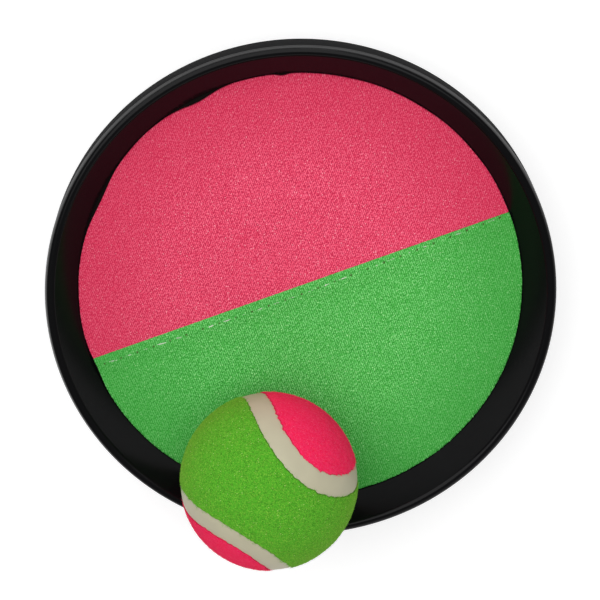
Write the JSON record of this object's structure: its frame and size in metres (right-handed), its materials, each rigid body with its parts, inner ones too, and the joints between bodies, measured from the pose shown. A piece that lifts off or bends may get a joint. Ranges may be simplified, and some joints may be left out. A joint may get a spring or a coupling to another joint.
{
  "type": "hook and loop catch paddle",
  "caption": "Round black catch paddle with a recessed pink and green hook-fabric face, a hook and loop hand strap on its back, and a felt ball that sticks to the face.",
  "frame": {"origin": "on the dish's axis, in the plane of the rim's back edge", "axes": "+Z along the dish's axis, out of the catching face; +X along the hand strap, from the outer strap's bar to the inner strap's; the ball sits towards -Y"},
  "size_m": [0.19, 0.191, 0.1033],
  "materials": {
    "dish_plastic": "glossy moulded black",
    "film": "clear adhesive film",
    "pink_hook_fabric": "short hooks on a woven ground",
    "green_hook_fabric": "short hooks on a woven ground",
    "seam_thread": "twisted thread",
    "webbing": "woven nylon",
    "hook_tape": "nylon hooks",
    "loop_tape": "brushed nylon loops",
    "strap_thread": "twisted thread",
    "core_rubber": "moulded",
    "green_felt": "napped felt",
    "pink_felt": "napped felt",
    "seam_rubber": "smooth, matt"
  },
  "bodies": {
    "paddle": {"dish": "dish_plastic", "face_adhesive": "film", "pink_face": "pink_hook_fabric", "green_face": "green_hook_fabric", "seam_stitches": "seam_thread"},
    "outer_strap_half": {"outer_strap": "webbing", "hook_patch": "hook_tape", "outer_strap_stitches": "strap_thread"},
    "inner_strap_half": {"inner_strap": "webbing", "loop_patch": "loop_tape", "inner_strap_stitches": "strap_thread"},
    "ball": {"ball_core_upper": "core_rubber", "ball_core_lower": "core_rubber", "ball_felt_green": "green_felt", "ball_felt_pink": "pink_felt", "ball_seam": "seam_rubber"}
  },
  "joints": [
    {"name": "outer_strap_peel", "type": "hinge", "parent": "paddle", "child": "outer_strap_half", "pos_m": [-0.046, 0, -0.0038], "axis": [0, 1, 0], "range_deg": [0, 120]},
    {"name": "inner_strap_swing", "type": "hinge", "parent": "paddle", "child": "inner_strap_half", "pos_m": [0.046, 0, -0.0038], "axis": [0, 1, 0], "range_deg": [0, 12]},
    {"name": "ball_pull", "type": "slide", "parent": "paddle", "child": "ball", "axis": [0, 0, 1], "range_m": [0, 0.08]}
  ]
}
